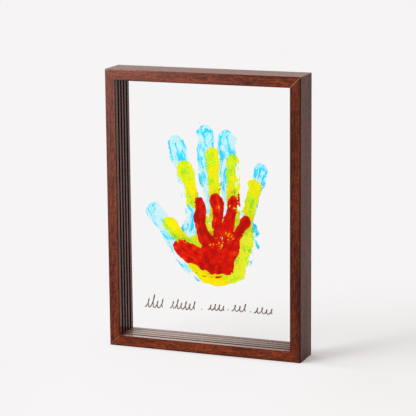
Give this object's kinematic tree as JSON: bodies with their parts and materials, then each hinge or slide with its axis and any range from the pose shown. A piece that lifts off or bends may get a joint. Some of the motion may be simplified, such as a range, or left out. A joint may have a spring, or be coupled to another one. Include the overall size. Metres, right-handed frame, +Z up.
{
  "type": "layered handprint frame",
  "caption": "Deep mitred wooden frame, grooved inside to hold clear panes one behind another, painted with nested handprints; its top rail lifts off so the panes slide out.",
  "frame": {"origin": "middle of the underside that the frame stands on", "axes": "+Z up, +X to the right as the front is seen, the front faces -Y"},
  "size_m": [0.225, 0.038, 0.312],
  "materials": {
    "wood_finish": "satin red-brown wood grain",
    "clear_acrylic": "clear, polished",
    "red_paint": "dried finger paint",
    "yellow_paint": "dried finger paint",
    "blue_paint": "dried finger paint, thin",
    "brown_ink": "paint pen",
    "nail_steel": "zinc plated",
    "pin_steel": "ground",
    "magnet_nickel": "nickel plated"
  },
  "bodies": {
    "frame": {"left_stile": "wood_finish", "right_stile": "wood_finish", "bottom_rail": "wood_finish", "bottom_left_v_nails": "nail_steel", "bottom_right_v_nails": "nail_steel", "left_locating_pins": "pin_steel", "right_locating_pins": "pin_steel", "left_stile_magnets": "magnet_nickel", "right_stile_magnets": "magnet_nickel"},
    "removable_top": {"top_rail": "wood_finish", "top_rail_left_magnets": "magnet_nickel", "top_rail_right_magnets": "magnet_nickel"},
    "front_layer": {"front_pane": "clear_acrylic", "red_handprint": "red_paint"},
    "second_layer": {"second_pane": "clear_acrylic", "yellow_handprint": "yellow_paint"},
    "third_layer": {"third_pane": "clear_acrylic", "blue_handprint": "blue_paint"},
    "rear_layer": {"rear_pane": "clear_acrylic"}
  },
  "joints": [
    {"name": "top_rail_lift", "type": "slide", "parent": "frame", "child": "removable_top", "axis": [0, 0, 1], "range_m": [0, 0.34]},
    {"name": "front_pane_slide", "type": "slide", "parent": "frame", "child": "front_layer", "axis": [0, 0, 1], "range_m": [0, 0.307]},
    {"name": "second_pane_slide", "type": "slide", "parent": "frame", "child": "second_layer", "axis": [0, 0, 1], "range_m": [0, 0.307]},
    {"name": "third_pane_slide", "type": "slide", "parent": "frame", "child": "third_layer", "axis": [0, 0, 1], "range_m": [0, 0.307]},
    {"name": "rear_pane_slide", "type": "slide", "parent": "frame", "child": "rear_layer", "axis": [0, 0, 1], "range_m": [0, 0.307]}
  ],
  "couplings": [
    {"joint": "front_pane_slide", "follows": "top_rail_lift", "ratio": 0.9},
    {"joint": "second_pane_slide", "follows": "top_rail_lift", "ratio": 0.9},
    {"joint": "third_pane_slide", "follows": "top_rail_lift", "ratio": 0.9},
    {"joint": "rear_pane_slide", "follows": "top_rail_lift", "ratio": 0.9}
  ]
}
